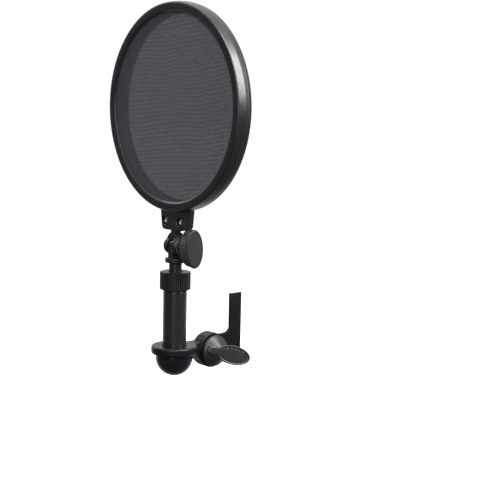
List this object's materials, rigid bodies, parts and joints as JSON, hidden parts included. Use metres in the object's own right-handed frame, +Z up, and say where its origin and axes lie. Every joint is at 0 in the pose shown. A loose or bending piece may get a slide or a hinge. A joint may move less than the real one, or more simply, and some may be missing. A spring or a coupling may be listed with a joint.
{
  "type": "pop filter",
  "caption": "Round double-mesh pop filter with a tilting, height-adjusted post on a swinging arm, held by a lever-clamped plate knuckle on a short leg.",
  "frame": {"origin": "centre of the leg's flat top end, where the leg is held", "axes": "+Z up along the leg and the post; the screen's front faces -Y; both hinge axes lie along X, with the knob and the lever on their +X ends"},
  "size_m": [0.137, 0.0716, 0.248],
  "materials": {
    "rim_plastic": "satin near-black moulded plastic",
    "mesh": "dark grey woven nylon",
    "black_plastic": "black moulded plastic",
    "cap_plastic": "smooth satin black plastic",
    "knob_plastic": "satin dark grey plastic",
    "lever_plastic": "fine-grained dark grey plastic",
    "black_metal": "satin black paint",
    "tube_paint": "satin dark paint",
    "collar_metal": "matte black, knurled",
    "nickel": "nickel plate",
    "brass": "machined",
    "zinc": "zinc plate"
  },
  "bodies": {
    "leg": {"mount_leg": "black_metal"},
    "arm": {"arm": "black_plastic", "outer_tube": "tube_paint", "tube_plug": "zinc", "tube_washer": "zinc", "tube_screw": "zinc", "dome_cap": "cap_plastic", "collet": "black_plastic", "nut_washer": "zinc", "clamp_nut": "zinc"},
    "lever": {"wing_lever": "lever_plastic", "clamp_bolt": "zinc", "lever_washer": "zinc"},
    "collar": {"knurled_collar": "collar_metal"},
    "guide": {"guide_bush": "black_plastic"},
    "rod": {"inner_rod": "tube_paint", "rod_clip": "zinc", "hinge_tongue": "black_metal"},
    "head": {"hinge_fork": "black_plastic", "tilt_nut": "zinc", "front_rim": "rim_plastic", "rear_rim": "rim_plastic", "front_mesh": "mesh", "rear_mesh": "mesh", "mesh_hoop": "black_plastic", "block_screw_left": "nickel", "block_screw_right": "nickel", "block_insert_left": "brass", "block_insert_right": "brass"},
    "knob": {"tilt_knob": "knob_plastic", "tilt_bolt": "zinc", "tilt_washer": "zinc"}
  },
  "joints": [
    {"name": "arm_swing", "type": "hinge", "parent": "leg", "child": "arm", "pos_m": [-0.00315, -0.0205, -0.038], "axis": [1, 0, 0], "range_deg": [-25, 90]},
    {"name": "lever_turn", "type": "hinge", "parent": "arm", "child": "lever", "pos_m": [-0.00315, -0.0205, -0.038], "axis": [1, 0, 0], "range_deg": [-15, 270]},
    {"name": "collar_turn", "type": "hinge", "parent": "arm", "child": "collar", "pos_m": [-0.00315, -0.051, 0.012], "axis": [0, 0, 1], "range_deg": [-20, 360]},
    {"name": "height_slide", "type": "slide", "parent": "arm", "child": "guide", "axis": [0, 0, 1], "range_m": [-0.0055, 0.022]},
    {"name": "head_swivel", "type": "hinge", "parent": "guide", "child": "rod", "pos_m": [-0.00315, -0.051, 0], "axis": [0, 0, 1], "continuous": true},
    {"name": "head_tilt", "type": "hinge", "parent": "rod", "child": "head", "pos_m": [-0.00315, -0.051, 0.0364], "axis": [1, 0, 0], "range_deg": [-70, 70]},
    {"name": "knob_turn", "type": "hinge", "parent": "head", "child": "knob", "pos_m": [-0.00315, -0.051, 0.0364], "axis": [1, 0, 0], "range_deg": [-15, 360]}
  ]
}
